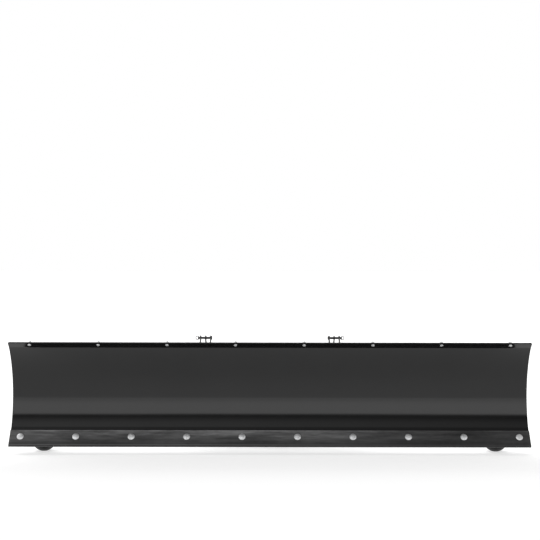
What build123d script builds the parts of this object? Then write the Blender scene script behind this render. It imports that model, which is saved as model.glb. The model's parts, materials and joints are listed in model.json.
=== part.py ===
from build123d import *

import os
from math import atan2, cos, degrees, radians, sin, sqrt

# A straight snow plow blade for a utility vehicle, with the frame that it trips and swivels on.
#
# A rolled steel moldboard carries a bolted wear bar, a folded lip, ribs, skid shoes and two pairs
# of ears. The ears hinge on a trip frame, and two springs hold the blade back against its stops.
# The trip frame has two plates, which take the head of a push tube on a vertical king pin.
#
# Outlines are drawn from the cutting edge: X across the blade, Y backwards, Z up from the lowest
# edge. At the end everything is moved so that the middle of the king pin's bore is the origin.
# Left is -X and right is +X, as seen from the front. Paired pieces are drawn on the right.

# ---- Blade (mm) ----
BLADE_WIDTH = 1829.0
WEAR_TILT = 36.0  # from vertical, bottom edge forward
WEAR_HEIGHT, WEAR_THICK, WEAR_EDGE_ROUND = 63.5, 6.35, 0.8
SHEET = 3.0
SHEET_LOW = 14.0  # the sheet's lower end, up along the wear bar
ROLL_RADIUS = 262.0
ROLL_CENTRE = (-185.7, 174.9)
ROLL_TOP_ANGLE = 41.6  # above horizontal, round the roll's centre
LIP_LENGTH, LIP_LEAN = 23.3, 50.0  # lean is from vertical, forwards

# ---- Bolts ----
WEAR_BOLTS, WEAR_BOLT_SPAN, WEAR_BOLT_UP = 10, 1753.0, 37.6
WEAR_BOLT_D, WEAR_HEAD_D, WEAR_HEAD_RISE, WEAR_BOLT_LENGTH = 10.0, 24.0, 5.4, 28.5
WEAR_NUT_FLATS, WEAR_NUT_HEIGHT, WEAR_NUT_FLANGE = 15.0, 9.5, 21.5
LIP_BOLTS, LIP_BOLT_SPAN, LIP_BOLT_IN = 8, 1680.0, 10.0
LIP_BOLT_D, LIP_HEAD_D, LIP_HEAD_RISE, LIP_BOLT_LENGTH = 6.0, 11.5, 2.0, 16.0
LIP_NUT_FLATS, LIP_NUT_HEIGHT, LIP_NUT_FLANGE = 10.0, 6.0, 13.5
FLANGE_HEIGHT = 0.22  # of the nut's height
HEAD_RIM = 0.4  # a carriage bolt's head is this thick at its edge
SQUARE_PLAY, ROUND_PLAY = 0.2, 1.0  # how much wider a bolt's hole is than the bolt

# ---- Stiffeners on the back ----
ANGLE_LOW, ANGLE_HIGH, ANGLE_LEG, ANGLE_THICK = 18.0, 58.0, 40.0, 5.0
LIP_BAR_IN, LIP_BAR_WIDTH, LIP_BAR_THICK = 3.0, 15.0, 4.0
ANGLE_SHORT, LIP_BAR_SHORT, TUBE_SHORT = 2.0, 4.0, 40.0  # shorter than the blade's width
TUBE_SIDE, TUBE_WALL, TUBE_ANGLE, TUBE_ROUND = 25.0, 2.0, 34.0, 3.0
RIB_THICK, RIB_DEPTH, RIB_TOP_ANGLE = 5.0, 35.0, 31.0
RIB_XS = {"outer_rib": 640.0, "inner_rib": 430.0, "end_rib": 906.0}

# ---- Ears and trip pivot ----
EAR_X, EAR_GAP, EAR_THICK = 229.0, 31.0, 5.0
EAR_FOOT, EAR_TOP_ANGLE = 40.0, 38.0
PIVOT = (118.0, 112.0)
PIVOT_PIN_D, PIVOT_HEAD_D, PIVOT_LOBE = 16.0, 24.0, 22.0
SPRING_TOP = (90.0, 377.5)
SPRING_PIN_D, SPRING_HEAD_D, SPRING_LOBE = 8.0, 13.0, 8.5
PIVOT_TIP, PIVOT_CLIP_OUT, PIVOT_CLIP_WIRE = 12.0, 5.0, 4.0  # tip and clip are beyond the outer ear
SPRING_TIP, RING_HOLE_OUT, RING_HOLE_D = 7.5, 4.0, 4.8
RING_RADIUS, RING_WIRE, RING_OUT = 6.0, 2.4, 5.0  # RING_OUT is from the hole to the ring's centre
HEAD_GAP = 0.2  # from a pin's head to the inner ear
STOP_FACE, STOP_LOW, STOP_HIGH = 148.7, 178.0, 214.0
PIN_CLEAR = 0.03  # pin in a hole of the same body
CLIP_CLEAR = 0.15  # clip in its hole
RUN_CLEAR = 0.06  # pin in a hole that turns on it

# ---- Trip frame ----
BAR_SIDE, BAR_WALL, BAR_LENGTH, BAR_ROUND, BAR_FRONT = 40.0, 3.0, 600.0, 5.0, 150.0
CAP_THICK = 3.0
BOSS_D, LUG_THICK, LUG_SPREAD, LUG_LOBE = 36.0, 8.0, 9.0, 25.0
GUSSET_THICK, STOP_PAD, SMALL_GAP = 5.0, 3.0, 0.3
GUSSET_TOP, GUSSET_FOOT = 16.0, 10.0  # its flat top edge, and how far it reaches down the bar
GUSSET_NOSE, GUSSET_HEEL = (292.0, 156.0), 266.0
EYE_CHAMFER, BUSH_CHAMFER, STEM_CHAMFER = 0.8, 0.8, 2.0
SPRING_FOOT = (240.0, 179.0)
TAB_DOWN, TAB_THICK, TAB_HEIGHT = 44.0, 8.0, 32.0  # TAB_DOWN is from the eye's centre
EYE_RADIUS, EYE_WIRE, EYEBOLT_REACH = 11.0, 8.0, 82.0
EYE_NUT_FLATS, EYE_NUT_HEIGHT = 13.0, 6.5
KING_Y, KING_BORE, BUSH_D, BUSH_LENGTH = 240.0, 25.5, 40.0, 30.0
PLATE_THICK, PLATE_HALF_WIDTH = 10.0, 110.0
RIM_RADIUS, RIM_ANGLE = 125.0, 38.0
NOTCH_ANGLES, NOTCH_WIDTH, NOTCH_DEPTH = (-25.0, -12.5, 0.0, 12.5, 25.0), 16.5, 15.0
LOWER_HALF_WIDTH, LOWER_NOSE, LOWER_NOSE_ANGLE = 80.0, 44.0, 20.0

# ---- Trip springs ----
SPRING_WIRE, SPRING_MEAN_R = 5.0, 11.5
SPRING_TURNS, SPRING_END_TURNS = 33, 3  # all the coils, and those that stay with the upper hook
SPRING_COIL_START = 35.0  # from the upper pin
SPRING_HOOK_SINK = 6.0  # how far the lower hook runs into the coils

# ---- Skid shoes ----
SHOE_X, SHOE_Y, SHOE_BOTTOM = 807.5, 102.0, -27.0
DISH_RADIUS, DISH_HEIGHT, DISH_WALL, DISH_FLAT_R = 43.0, 22.0, 5.0, 12.0
HUB_D, HUB_TOP, STEM_D, STEM_TOP = 34.0, 6.0, 25.0, 117.0
SLEEVE_D, SLEEVE_BORE, SLEEVE_LOW, SLEEVE_HIGH = 34.0, 26.0, 28.0, 93.0
WASHER_D, WASHER_THICK, WASHER_GAP, LOWER_WASHERS, UPPER_WASHERS = 42.0, 4.0, 0.2, 3, 2
STRAP_THICK, STRAP_SPREAD, STRAP_LOW, STRAP_HIGH = 5.0, 14.5, 34.0, 88.0
SHOE_CLIP_WIRE = 4.0

THREAD_GAP = 0.05
FAR = 300.0  # beyond anything that an outline is trimmed from

TILT = radians(WEAR_TILT)
UP_BAR = (sin(TILT), cos(TILT))
BACK_BAR = (cos(TILT), -sin(TILT))
LEAN = radians(LIP_LEAN)
OUT_LIP = (-sin(LEAN), cos(LEAN))
OVER_LIP = (cos(LEAN), sin(LEAN))
SHEET_BACK = WEAR_THICK + SHEET
BAR_LOW, BAR_HIGH = PIVOT[1] - BAR_SIDE / 2, PIVOT[1] + BAR_SIDE / 2
BAR_BACK = BAR_FRONT + BAR_SIDE
EAR_INNER = EAR_X - EAR_GAP / 2 - EAR_THICK
EAR_OUTER = EAR_X + EAR_GAP / 2 + EAR_THICK

nodes = {}


# ---------------------------------------------------------------- points
def move(start, direction, distance):
    return (start[0] + direction[0] * distance, start[1] + direction[1] * distance)


def bar_point(up, back):
    """A point measured up the wear bar's face and backwards through it."""
    return move(move((0, WEAR_THICK * sin(TILT)), UP_BAR, up), BACK_BAR, back)


def roll_point(angle, radius):
    """A point round the roll's centre, at an angle above horizontal."""
    return move(ROLL_CENTRE, (cos(radians(angle)), sin(radians(angle))), radius)


def mitre(corner, first_normal, second_normal, distance):
    """Where two lines that meet at a corner would meet if both moved along their normals."""
    scale = distance / (1 + first_normal[0] * second_normal[0] + first_normal[1] * second_normal[1])
    return move(corner, [a + b for a, b in zip(first_normal, second_normal)], scale)


def flat_top_angle():
    """The angle round the roll where the flat behind the wear bar runs into it."""
    y, z = [p - c for p, c in zip(bar_point(0, WEAR_THICK), ROLL_CENTRE)]
    along = y * UP_BAR[0] + z * UP_BAR[1]
    up = sqrt(along**2 - y**2 - z**2 + ROLL_RADIUS**2) - along
    return degrees(atan2(z + up * UP_BAR[1], y + up * UP_BAR[0]))


FLAT_ANGLE = flat_top_angle()


def sheet_line(back):
    """The sheet's low end, flat top, roll middle, roll top and lip edge, moved backwards."""
    flat_normal = (cos(radians(FLAT_ANGLE)), sin(radians(FLAT_ANGLE)))
    top_normal = (cos(radians(ROLL_TOP_ANGLE)), sin(radians(ROLL_TOP_ANGLE)))
    roll_top = roll_point(ROLL_TOP_ANGLE, ROLL_RADIUS)
    return [
        bar_point(SHEET_LOW, WEAR_THICK + back),
        mitre(roll_point(FLAT_ANGLE, ROLL_RADIUS), BACK_BAR, flat_normal, back),
        roll_point((FLAT_ANGLE + ROLL_TOP_ANGLE) / 2, ROLL_RADIUS + back),
        mitre(roll_top, top_normal, OVER_LIP, back),
        move(move(roll_top, OUT_LIP, LIP_LENGTH), OVER_LIP, back),
    ]


def even(count, span):
    return [span * (i / (count - 1) - 0.5) for i in range(count)]


# ---------------------------------------------------------------- shared shapes
def polygon(*points):
    return make_face(Polyline(*points, close=True))


def disc(centre, radius):
    return Pos(*centre) * Circle(radius)


def plate(outline, x, thickness):
    """A flat plate, its outline drawn in Y and Z, centred on x."""
    return extrude(Plane.YZ.offset(x - thickness / 2) * outline, thickness, dir=(1, 0, 0))


def rod(centre, radius, x_low, x_high):
    """A round rod along X."""
    return extrude(Plane.YZ.offset(x_low) * Circle(radius).moved(Pos(*centre)), x_high - x_low, dir=(1, 0, 0))


def post(radius, low, high):
    """A round post about Z."""
    return Pos(0, 0, low) * Cylinder(radius, high - low, align=(Align.CENTER, Align.CENTER, Align.MIN))


def group(shapes):
    """One node of separate solids."""
    return Compound(children=[solid for shape in shapes for solid in shape.solids()])


def add_pair(name, shape):
    """A piece drawn on the right, and its mirror image on the left."""
    nodes["right_" + name] = shape
    nodes["left_" + name] = mirror(shape, about=Plane.YZ)


def add_both(name, shapes):
    """Like pieces drawn on the right, in one node with their mirror images."""
    nodes[name] = group(shapes + [mirror(shape, about=Plane.YZ) for shape in shapes])


def across(x, point, direction):
    """A plane at a point of the side view, its Z along a direction of the side view."""
    return Plane(origin=(x, *point), x_dir=(1, 0, 0), z_dir=(0, *direction))


def carriage_bolt(shank_d, length, head_d, head_rise, neck):
    """Its head is below Z 0, and its square neck and shank run upwards."""
    dome = make_face(
        Curve()
        + [
            ThreePointArc((0, -head_rise), (head_d * 0.3, -head_rise * 0.72), (head_d / 2, -HEAD_RIM)),
            Line((head_d / 2, -HEAD_RIM), (head_d / 2, 0)),
            Line((head_d / 2, 0), (0, 0)),
            Line((0, 0), (0, -head_rise)),
        ]
    )
    shank = post(shank_d / 2, 0, length)
    shank = chamfer(shank.edges().sort_by(Axis.Z)[-1], shank_d * 0.1)
    return revolve(Plane.XZ * dome, Axis.Z) + shank + extrude(Rectangle(shank_d, shank_d), neck)


def nut(thread_d, flats, height, flange_d):
    """It sits on Z 0, with a flange where flange_d is more than its flats."""
    body = extrude(RegularPolygon(flats / 2, 6, major_radius=False), height)
    if flange_d > flats:
        body += post(flange_d / 2, 0, height * FLANGE_HEIGHT)
    return body - post(thread_d / 2 + THREAD_GAP, -1, height + 1)


def hairpin(pin_d, wire):
    """A clip in the XY plane: one leg runs along X through a pin at the origin, one over it."""
    apart = pin_d / 2 + wire / 2 + 0.2
    back = -pin_d / 2 - 1.5 * wire
    leg = Line((pin_d / 2 + 2 * wire, 0), (back, 0))
    loop = ThreePointArc((back, 0), (back - apart / 2, apart / 2), (back, apart))
    over = Line((back, apart), (pin_d * 0.35, apart))
    flare = TangentArc((pin_d * 0.35, apart), (pin_d * 0.35 + 2 * wire, apart + wire), tangent=(1, 0))
    section = Plane(origin=leg @ 0, z_dir=(-1, 0, 0)) * Circle(wire / 2)
    return sweep(section, path=Wire([leg, loop, over, flare]))


def clip_bore(pin_d, wire):
    """The hole along X, through a pin at the origin, for a hairpin's leg."""
    return Rot(0, 90, 0) * Cylinder(wire / 2 + CLIP_CLEAR, 2 * pin_d)


def headed_pin(centre, pin_d, head_d, x_head, x_tip):
    """A pin along X: its head's inner face is at x_head, and its far end is rounded off."""
    shaft = rod(centre, pin_d / 2, x_head, x_tip)
    shaft = chamfer(shaft.edges().sort_by(Axis.X)[-1], pin_d * 0.1)
    head = rod(centre, head_d / 2, x_head - pin_d * 0.3, x_head)
    return shaft + chamfer(head.edges().sort_by(Axis.X)[0], pin_d * 0.06)


# ---------------------------------------------------------------- moldboard and wear bar
def bolt_places(count, span, point, direction):
    return [across(x, point, direction) for x in even(count, span)]


LIP_EDGE = sheet_line(0)[-1]
WEAR_PLACES = bolt_places(WEAR_BOLTS, WEAR_BOLT_SPAN, bar_point(WEAR_BOLT_UP, 0), BACK_BAR)
LIP_PLACES = bolt_places(LIP_BOLTS, LIP_BOLT_SPAN, move(LIP_EDGE, OUT_LIP, -LIP_BOLT_IN), OVER_LIP)


def square_holes(places, bolt_d):
    side = bolt_d + SQUARE_PLAY
    return [place * Box(side, side, 2 * WEAR_HEIGHT) for place in places]


def round_holes(places, bolt_d):
    return [place * Cylinder((bolt_d + ROUND_PLAY) / 2, 2 * WEAR_HEIGHT) for place in places]


def make_moldboard():
    front, back = sheet_line(0), sheet_line(SHEET)
    outline = make_face(
        Curve()
        + [
            Line(front[0], front[1]),
            ThreePointArc(*front[1:4]),
            Line(front[3], front[4]),
            Line(front[4], back[4]),
            Line(back[4], back[3]),
            ThreePointArc(back[3], back[2], back[1]),
            Line(back[1], back[0]),
            Line(back[0], front[0]),
        ]
    )
    sheet = plate(outline, 0, BLADE_WIDTH)
    return sheet - round_holes(WEAR_PLACES, WEAR_BOLT_D) - square_holes(LIP_PLACES, LIP_BOLT_D)


def make_wear_bar():
    outline = polygon(
        bar_point(0, 0),
        bar_point(WEAR_HEIGHT, 0),
        bar_point(WEAR_HEIGHT, WEAR_THICK),
        bar_point(0, WEAR_THICK),
    )
    bar = plate(fillet(outline.vertices(), WEAR_EDGE_ROUND), 0, BLADE_WIDTH)
    return bar - square_holes(WEAR_PLACES, WEAR_BOLT_D)


nodes["moldboard"] = make_moldboard()
nodes["wear_bar"] = make_wear_bar()

wear_bolt = carriage_bolt(WEAR_BOLT_D, WEAR_BOLT_LENGTH, WEAR_HEAD_D, WEAR_HEAD_RISE, WEAR_THICK - 1)
wear_nut = Pos(0, 0, SHEET_BACK + ANGLE_THICK) * nut(
    WEAR_BOLT_D, WEAR_NUT_FLATS, WEAR_NUT_HEIGHT, WEAR_NUT_FLANGE
)
nodes["wear_bar_bolts"] = group([place * wear_bolt for place in WEAR_PLACES])
nodes["wear_bar_nuts"] = group([place * wear_nut for place in WEAR_PLACES])

lip_bolt = carriage_bolt(LIP_BOLT_D, LIP_BOLT_LENGTH, LIP_HEAD_D, LIP_HEAD_RISE, SHEET - 0.5)
lip_nut = Pos(0, 0, SHEET + LIP_BAR_THICK) * nut(
    LIP_BOLT_D, LIP_NUT_FLATS, LIP_NUT_HEIGHT, LIP_NUT_FLANGE
)
nodes["lip_bolts"] = group([place * lip_bolt for place in LIP_PLACES])
nodes["lip_nuts"] = group([place * lip_nut for place in LIP_PLACES])


# ---------------------------------------------------------------- stiffeners
def make_bottom_angle():
    foot = SHEET_BACK + ANGLE_LEG
    inner = SHEET_BACK + ANGLE_THICK
    outline = polygon(
        bar_point(ANGLE_LOW, SHEET_BACK),
        bar_point(ANGLE_HIGH, SHEET_BACK),
        bar_point(ANGLE_HIGH, foot),
        bar_point(ANGLE_HIGH - ANGLE_THICK, foot),
        bar_point(ANGLE_HIGH - ANGLE_THICK, inner),
        bar_point(ANGLE_LOW, inner),
    )
    return plate(outline, 0, BLADE_WIDTH - ANGLE_SHORT) - round_holes(WEAR_PLACES, WEAR_BOLT_D)


def make_lip_bar():
    near, far = -LIP_BAR_IN, -LIP_BAR_IN - LIP_BAR_WIDTH
    low, high = SHEET, SHEET + LIP_BAR_THICK
    corners = [(near, low), (near, high), (far, high), (far, low)]
    outline = polygon(*[move(move(LIP_EDGE, OUT_LIP, out), OVER_LIP, over) for out, over in corners])
    return plate(outline, 0, BLADE_WIDTH - LIP_BAR_SHORT) - round_holes(LIP_PLACES, LIP_BOLT_D)


def tube_section(side, corner):
    place = roll_point(TUBE_ANGLE, ROLL_RADIUS + SHEET + TUBE_SIDE / 2)
    return Pos(*place) * Rot(0, 0, TUBE_ANGLE) * RectangleRounded(side, side, corner)


TUBE_OUTLINE = tube_section(TUBE_SIDE, TUBE_ROUND)


def behind_sheet(top_angle):
    """Everything behind the sheet, from the bottom angle up to an angle round the roll."""
    back = sheet_line(SHEET)
    low = bar_point(ANGLE_HIGH, SHEET_BACK)
    radius = ROLL_RADIUS + SHEET
    top = roll_point(top_angle, radius)
    return make_face(
        Curve()
        + [
            Line(low, back[1]),
            ThreePointArc(back[1], roll_point((FLAT_ANGLE + top_angle) / 2, radius), top),
            Line(top, roll_point(top_angle, radius + FAR)),
            Line(roll_point(top_angle, radius + FAR), bar_point(ANGLE_HIGH, FAR)),
            Line(bar_point(ANGLE_HIGH, FAR), low),
        ]
    )


nodes["bottom_angle"] = make_bottom_angle()
nodes["lip_bar"] = make_lip_bar()
tube_hollow = tube_section(TUBE_SIDE - 2 * TUBE_WALL, TUBE_ROUND - TUBE_WALL)
nodes["top_tube"] = plate(TUBE_OUTLINE - tube_hollow, 0, BLADE_WIDTH - TUBE_SHORT)

rib_outline = behind_sheet(RIB_TOP_ANGLE) & disc(ROLL_CENTRE, ROLL_RADIUS + SHEET + RIB_DEPTH)
nodes["centre_rib"] = plate(rib_outline, 0, RIB_THICK)
for rib_name, rib_x in RIB_XS.items():
    add_pair(rib_name, plate(rib_outline, rib_x, RIB_THICK))


# ---------------------------------------------------------------- ears and pins
def ear_outline():
    body = polygon(
        bar_point(ANGLE_HIGH, SHEET),
        bar_point(ANGLE_HIGH, SHEET_BACK + EAR_FOOT),
        move(PIVOT, (0.4, -0.9), PIVOT_LOBE),
        (PIVOT[0] + PIVOT_LOBE, PIVOT[1]),
        (STOP_FACE, STOP_LOW),
        (STOP_FACE, STOP_HIGH),
        (SPRING_TOP[0] + SPRING_LOBE, SPRING_TOP[1]),
        (SPRING_TOP[0] - SPRING_LOBE, SPRING_TOP[1] + 1),
        roll_point(EAR_TOP_ANGLE, ROLL_RADIUS + SHEET),
    )
    above = polygon(
        roll_point(EAR_TOP_ANGLE, ROLL_RADIUS + SHEET),
        (SPRING_TOP[0] - SPRING_LOBE, SPRING_TOP[1] + 1),
        (SPRING_TOP[0] + SPRING_LOBE, SPRING_TOP[1]),
        roll_point(0, ROLL_RADIUS + FAR),
    )
    behind = behind_sheet(EAR_TOP_ANGLE) + above
    lobes = disc(PIVOT, PIVOT_LOBE) + disc(SPRING_TOP, SPRING_LOBE)
    holes = disc(PIVOT, PIVOT_PIN_D / 2 + PIN_CLEAR) + disc(SPRING_TOP, SPRING_PIN_D / 2 + PIN_CLEAR)
    return (body & behind) + lobes - holes - TUBE_OUTLINE


ear = ear_outline()
add_pair("inner_ear", plate(ear, EAR_X - EAR_GAP / 2 - EAR_THICK / 2, EAR_THICK))
add_pair("outer_ear", plate(ear, EAR_X + EAR_GAP / 2 + EAR_THICK / 2, EAR_THICK))

pivot_clip_place = Plane(origin=(EAR_OUTER + PIVOT_CLIP_OUT, *PIVOT), x_dir=(0, 0, -1), z_dir=(1, 0, 0))
pivot_pin = headed_pin(PIVOT, PIVOT_PIN_D, PIVOT_HEAD_D, EAR_INNER - HEAD_GAP, EAR_OUTER + PIVOT_TIP)
pivot_clip_hole = pivot_clip_place * clip_bore(PIVOT_PIN_D, PIVOT_CLIP_WIRE)
add_pair("pivot_pin", pivot_pin - pivot_clip_hole)
add_pair("pivot_clip", pivot_clip_place * hairpin(PIVOT_PIN_D, PIVOT_CLIP_WIRE))

ring_hole_x = EAR_OUTER + RING_HOLE_OUT
spring_pin = headed_pin(SPRING_TOP, SPRING_PIN_D, SPRING_HEAD_D, EAR_INNER - HEAD_GAP, EAR_OUTER + SPRING_TIP)
ring_hole = Pos(ring_hole_x, *SPRING_TOP) * Cylinder(RING_HOLE_D / 2, 2 * SPRING_PIN_D)
ring = Pos(ring_hole_x + RING_OUT, *SPRING_TOP) * Rot(90, 0, 0) * Torus(RING_RADIUS, RING_WIRE / 2)
add_pair("spring_pin", spring_pin - ring_hole)
add_pair("spring_pin_ring", ring)


# ---------------------------------------------------------------- trip frame
def make_crossbar():
    centre = (BAR_FRONT + BAR_SIDE / 2, PIVOT[1])
    outer = RectangleRounded(BAR_SIDE, BAR_SIDE, BAR_ROUND)
    hollow = RectangleRounded(BAR_SIDE - 2 * BAR_WALL, BAR_SIDE - 2 * BAR_WALL, BAR_ROUND - BAR_WALL)
    caps = [plate(Pos(*centre) * outer, s * (BAR_LENGTH + CAP_THICK) / 2, CAP_THICK) for s in (-1, 1)]
    return plate(Pos(*centre) * (outer - hollow), 0, BAR_LENGTH), group(caps)


nodes["crossbar"], nodes["crossbar_caps"] = make_crossbar()

boss_half = EAR_GAP / 2 - SMALL_GAP
boss = rod(PIVOT, BOSS_D / 2, EAR_X - boss_half, EAR_X + boss_half)
bore = rod(PIVOT, PIVOT_PIN_D / 2 + RUN_CLEAR, EAR_X - EAR_GAP, EAR_X + EAR_GAP)
add_pair("pivot_boss", boss - bore)

lug_outline = polygon(
    (PIVOT[0], PIVOT[1] + LUG_LOBE),
    (BAR_FRONT, BAR_HIGH - BAR_ROUND),
    (BAR_FRONT, BAR_LOW + BAR_ROUND),
    (PIVOT[0], PIVOT[1] - LUG_LOBE),
)
lug_outline = lug_outline + disc(PIVOT, LUG_LOBE) - disc(PIVOT, BOSS_D / 2)
add_both("pivot_lugs", [plate(lug_outline, EAR_X + s * LUG_SPREAD, LUG_THICK) for s in (-1, 1)])


def spring_line():
    """The direction from a spring's upper pin to its lower eye, and their distance apart."""
    y, z = SPRING_FOOT[0] - SPRING_TOP[0], SPRING_FOOT[1] - SPRING_TOP[1]
    length = sqrt(y**2 + z**2)
    return (y / length, z / length), length


SPRING_DOWN, SPRING_SPAN = spring_line()
PAD_BACK = STOP_FACE + SMALL_GAP + STOP_PAD


def make_spring_bracket():
    """Two side plates that stand on the crossbar, and the tab between them."""
    outline = polygon(
        (PAD_BACK, BAR_HIGH),
        (PAD_BACK, STOP_HIGH),
        (PAD_BACK + GUSSET_TOP, STOP_HIGH),
        GUSSET_NOSE,
        (GUSSET_HEEL, BAR_HIGH - GUSSET_FOOT),
        (BAR_BACK, BAR_HIGH - GUSSET_FOOT),
        (BAR_BACK, BAR_HIGH),
    )
    spread = (EAR_GAP + GUSSET_THICK) / 2
    sides = [plate(outline, EAR_X + s * spread, GUSSET_THICK) for s in (-1, 1)]
    place = across(EAR_X, move(SPRING_FOOT, SPRING_DOWN, TAB_DOWN), SPRING_DOWN)
    tab = place * (Box(EAR_GAP, TAB_HEIGHT, TAB_THICK) - Cylinder(EYE_WIRE / 2 + 0.5, 2 * TAB_THICK))
    pads = [
        Pos(EAR_X + s * spread, PAD_BACK - STOP_PAD / 2, (STOP_LOW + STOP_HIGH) / 2)
        * Box(GUSSET_THICK + 1, STOP_PAD, STOP_HIGH - STOP_LOW)
        for s in (-1, 1)
    ]
    return sides[0] + tab + sides[1], pads


bracket, pads = make_spring_bracket()
add_pair("spring_bracket", bracket)
add_both("stop_pads", pads)

eye_place = across(EAR_X, SPRING_FOOT, SPRING_DOWN)
eye_shank = chamfer(post(EYE_WIRE / 2, EYE_RADIUS, EYEBOLT_REACH).edges().sort_by(Axis.Z)[-1], EYE_CHAMFER)
add_pair("eyebolt", eye_place * (Rot(90, 0, 0) * Torus(EYE_RADIUS, EYE_WIRE / 2) + eye_shank))
eye_nuts = [
    eye_place * Pos(0, 0, TAB_DOWN + TAB_THICK / 2 + i * (EYE_NUT_HEIGHT + 0.1))
    * nut(EYE_WIRE, EYE_NUT_FLATS, EYE_NUT_HEIGHT, 0)
    for i in range(2)
]
add_both("eyebolt_nuts", eye_nuts)


def rim_point(angle, radius):
    """A point round the king pin, at an angle from straight back."""
    return (radius * sin(radians(angle)), KING_Y + radius * cos(radians(angle)))


def make_upper_plate():
    right, left = rim_point(RIM_ANGLE, RIM_RADIUS), rim_point(-RIM_ANGLE, RIM_RADIUS)
    outline = make_face(
        Curve()
        + [
            Line((-PLATE_HALF_WIDTH, BAR_FRONT), (PLATE_HALF_WIDTH, BAR_FRONT)),
            Line((PLATE_HALF_WIDTH, BAR_FRONT), right),
            ThreePointArc(right, rim_point(0, RIM_RADIUS), left),
            Line(left, (-PLATE_HALF_WIDTH, BAR_FRONT)),
        ]
    )
    for angle in NOTCH_ANGLES:
        root = RIM_RADIUS - NOTCH_DEPTH + NOTCH_WIDTH / 2
        outline -= disc(rim_point(angle, root), NOTCH_WIDTH / 2)
        outline -= Pos(*rim_point(angle, root + FAR / 2)) * Rot(0, 0, -angle) * Rectangle(NOTCH_WIDTH, FAR)
    outline -= disc((0, KING_Y), BUSH_D / 2)
    return Pos(0, 0, BAR_HIGH) * extrude(outline, PLATE_THICK)


def make_lower_plate():
    nose = disc((0, KING_Y), LOWER_NOSE)
    nose_x = LOWER_NOSE * cos(radians(LOWER_NOSE_ANGLE))
    nose_y = KING_Y + LOWER_NOSE * sin(radians(LOWER_NOSE_ANGLE))
    tongue = polygon(
        (-LOWER_HALF_WIDTH, BAR_FRONT),
        (LOWER_HALF_WIDTH, BAR_FRONT),
        (nose_x, nose_y),
        (-nose_x, nose_y),
    )
    outline = nose + tongue - disc((0, KING_Y), BUSH_D / 2)
    return Pos(0, 0, BAR_LOW - PLATE_THICK) * extrude(outline, PLATE_THICK)


nodes["upper_swivel_plate"] = make_upper_plate()
nodes["lower_swivel_plate"] = make_lower_plate()
bush = post(BUSH_D / 2, 0, BUSH_LENGTH) - post(KING_BORE / 2, -1, BUSH_LENGTH + 1)
bush = chamfer(bush.edges().filter_by(GeomType.CIRCLE).sort_by(Axis.Z)[-2:], BUSH_CHAMFER)
nodes["upper_king_bush"] = Pos(0, KING_Y, BAR_HIGH) * bush
nodes["lower_king_bush"] = mirror(Pos(0, KING_Y, BAR_HIGH) * bush, about=Plane.XY.offset(PIVOT[1]))


# ---------------------------------------------------------------- trip springs
def coil_tube(low, turns, pitch):
    """Close coils drawn as a ribbed tube."""
    wire = SPRING_WIRE / 2
    outer, groove, inner = SPRING_MEAN_R + wire, SPRING_MEAN_R + wire * 0.45, SPRING_MEAN_R - wire
    levels = [low + i * pitch for i in range(turns + 1)]
    ribs = [ThreePointArc((groove, z), (outer, z + pitch / 2), (groove, z + pitch)) for z in levels[:-1]]
    closing = Polyline((groove, levels[-1]), (inner, levels[-1]), (inner, low), (groove, low))
    return revolve(Plane.XZ * make_face(Curve() + ribs + [closing]), Axis.Z)


def make_trip_spring():
    """The coils with their lower hook, and the end coils that stretch away with the long upper hook."""
    wire = SPRING_WIRE / 2
    eye = SPRING_PIN_D / 2 + wire + THREAD_GAP
    low_hook = SPRING_SPAN - EYE_RADIUS + EYE_WIRE / 2 + wire + THREAD_GAP - SPRING_MEAN_R
    pitch = (low_hook - SPRING_MEAN_R + SPRING_HOOK_SINK - SPRING_COIL_START - SMALL_GAP) / SPRING_TURNS
    middle = SPRING_COIL_START + SPRING_END_TURNS * pitch
    shank_from, shank_to = Vector(0, eye, 0), Vector(0, SPRING_MEAN_R, SPRING_COIL_START + pitch)
    shank_line = shank_to - shank_from
    shank = Plane(origin=shank_from, z_dir=shank_line) * post(wire, 0, shank_line.length)
    upper = coil_tube(SPRING_COIL_START, SPRING_END_TURNS, pitch) + Rot(0, 90, 0) * Torus(eye, wire) + shank
    lower = coil_tube(middle + SMALL_GAP, SPRING_TURNS - SPRING_END_TURNS, pitch)
    lower += Pos(0, 0, low_hook) * Rot(0, 90, 0) * Torus(SPRING_MEAN_R, wire)
    place = across(EAR_X, SPRING_TOP, SPRING_DOWN)
    return place * lower, place * upper


coils, upper_hook = make_trip_spring()
add_pair("trip_spring", coils)
add_pair("spring_hook", upper_hook)


# ---------------------------------------------------------------- skid shoes
def at_shoe(shape):
    return Pos(SHOE_X, SHOE_Y, 0) * shape


def make_dish():
    centre = SHOE_BOTTOM + sqrt(DISH_RADIUS**2 - DISH_FLAT_R**2)
    slab = post(DISH_RADIUS, SHOE_BOTTOM, SHOE_BOTTOM + DISH_HEIGHT)
    hollow = Pos(0, 0, centre) * Sphere(DISH_RADIUS - DISH_WALL)
    dish = (Pos(0, 0, centre) * Sphere(DISH_RADIUS) & slab) - hollow
    hub = post(HUB_D / 2, SHOE_BOTTOM, HUB_TOP) & hollow
    return dish, hub


dish, hub = make_dish()
clip_z = SLEEVE_HIGH + UPPER_WASHERS * WASHER_THICK + WASHER_GAP + SHOE_CLIP_WIRE / 2
clip_place = Pos(SHOE_X, SHOE_Y, clip_z)
stem = chamfer(post(STEM_D / 2, HUB_TOP, STEM_TOP).edges().sort_by(Axis.Z)[-1], STEM_CHAMFER)
clip_hole = clip_place * clip_bore(STEM_D, SHOE_CLIP_WIRE)
add_pair("shoe_foot", at_shoe(dish))
add_pair("shoe_stem", at_shoe(hub + stem) - clip_hole)
add_pair("shoe_clip", clip_place * hairpin(STEM_D, SHOE_CLIP_WIRE))


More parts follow.
